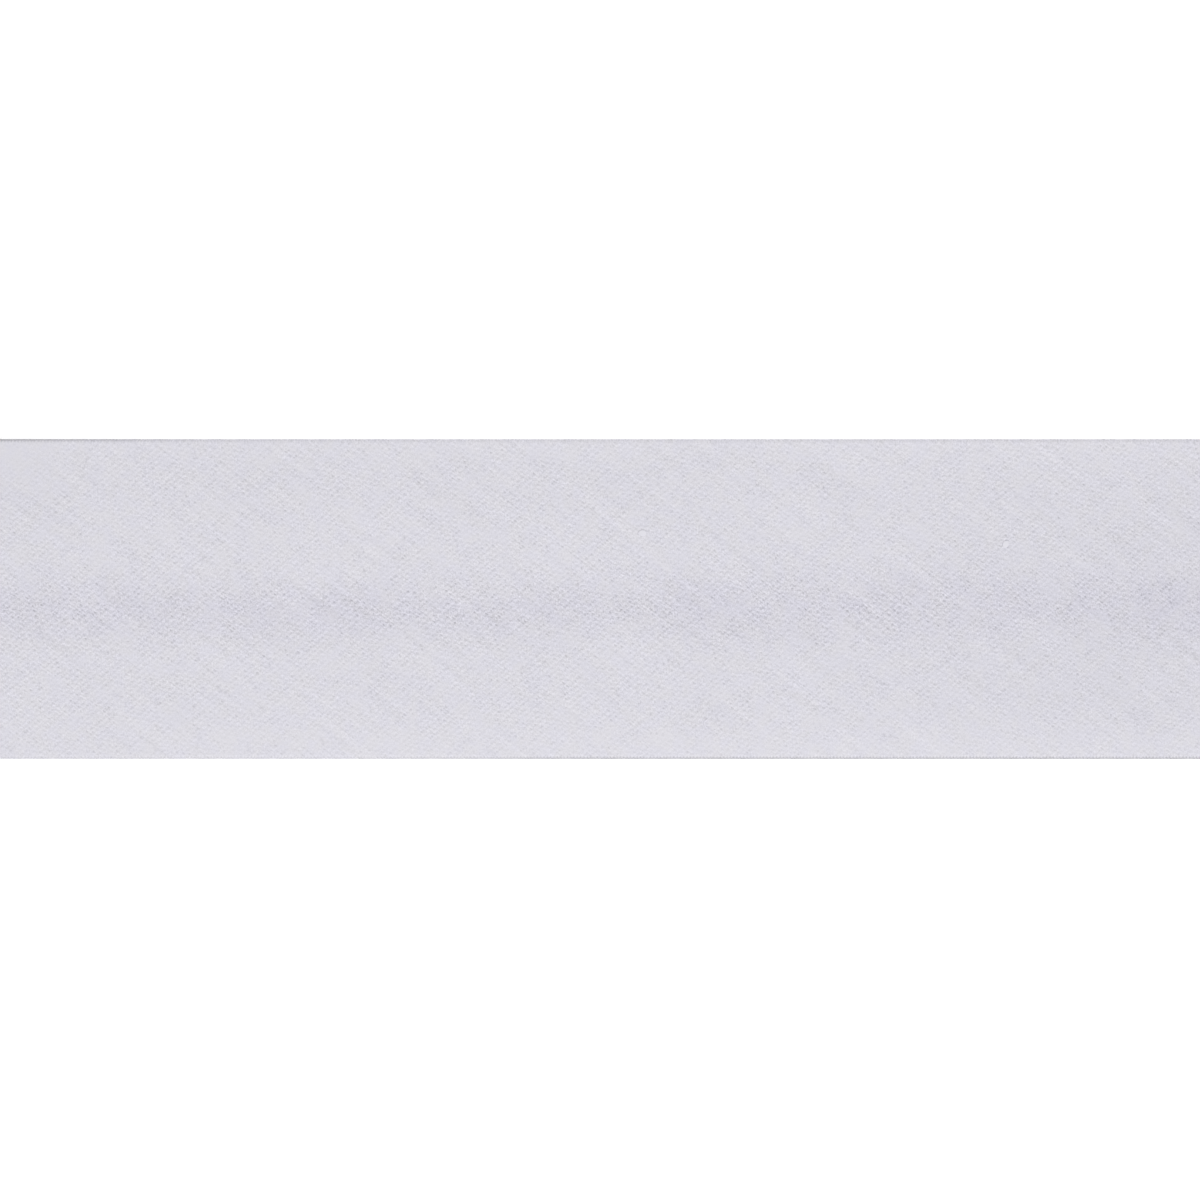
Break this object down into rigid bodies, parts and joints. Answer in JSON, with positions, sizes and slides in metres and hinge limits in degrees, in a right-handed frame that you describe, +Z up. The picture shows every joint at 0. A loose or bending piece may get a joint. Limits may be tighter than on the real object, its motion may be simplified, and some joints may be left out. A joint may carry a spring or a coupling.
{
  "type": "cut length of single-fold bias tape",
  "caption": "Flat strip of white plain-woven cloth cut on the bias, its long edges turned under and pressed, for binding and facing edges",
  "frame": {"origin": "under the middle of the tape, on the surface that it lies on", "axes": "+X along the tape, to the right in the picture; +Y across it, up in the picture; +Z up out of its face"},
  "size_m": [0.1, 0.025, 0.0023],
  "materials": {
    "binding_cloth": "plain-woven cotton, matt"
  },
  "bodies": {
    "root": {"tape": "binding_cloth"}
  },
  "joints": []
}
